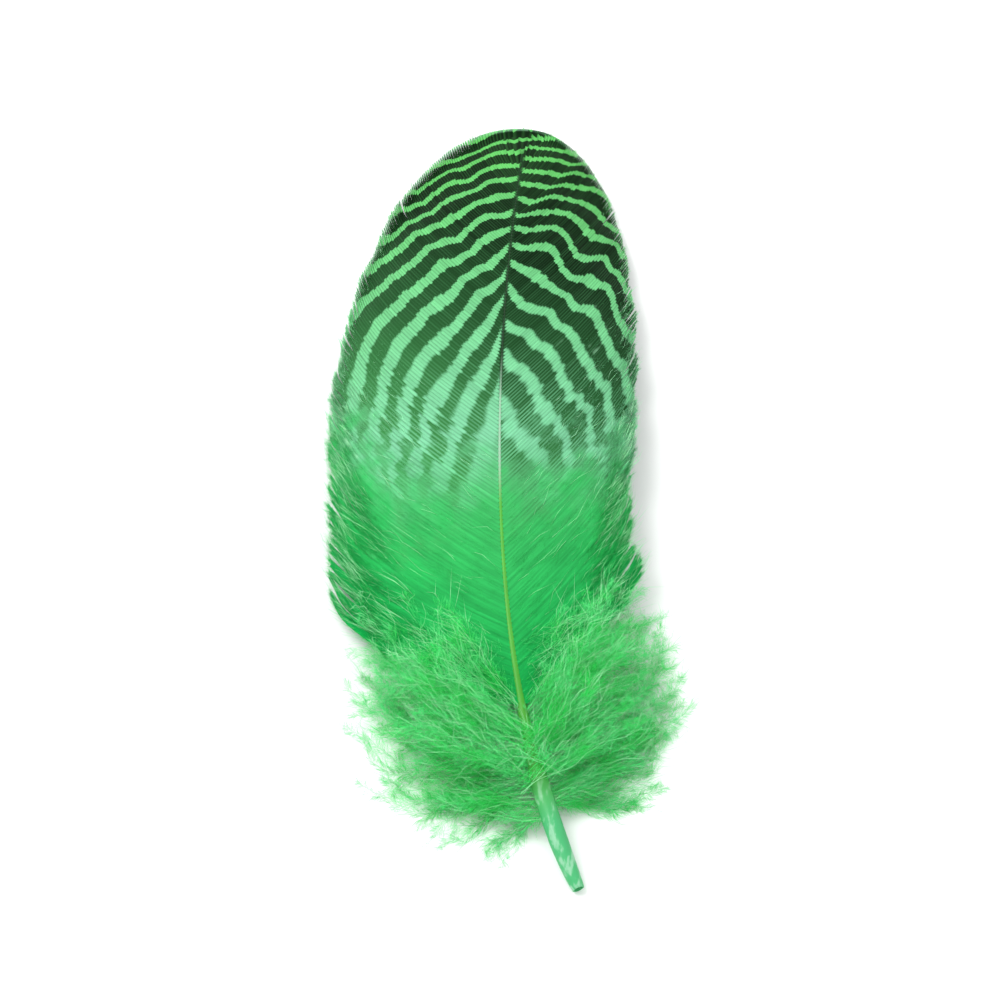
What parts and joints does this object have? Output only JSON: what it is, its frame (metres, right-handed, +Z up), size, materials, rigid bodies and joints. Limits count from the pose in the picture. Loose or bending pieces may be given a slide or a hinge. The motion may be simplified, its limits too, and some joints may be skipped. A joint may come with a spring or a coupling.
{
  "type": "goose feather",
  "caption": "Loose flank feather lying convex side up: curved shaft, rounded barred vane that curls down at the tip, and a downy foot around the bare quill end.",
  "frame": {"origin": "centre of the feather's bounding box on the surface that it lies on", "axes": "+Y runs from the quill end to the tip of the vane, +Z is up with the convex side on top, +X is to the right of someone who looks from the quill end to the tip"},
  "size_m": [0.0356, 0.0932, 0.0101],
  "materials": {
    "vane": "matte",
    "down": "matte",
    "shaft": "satin"
  },
  "bodies": {
    "root": {"feather": "vane"}
  },
  "joints": []
}
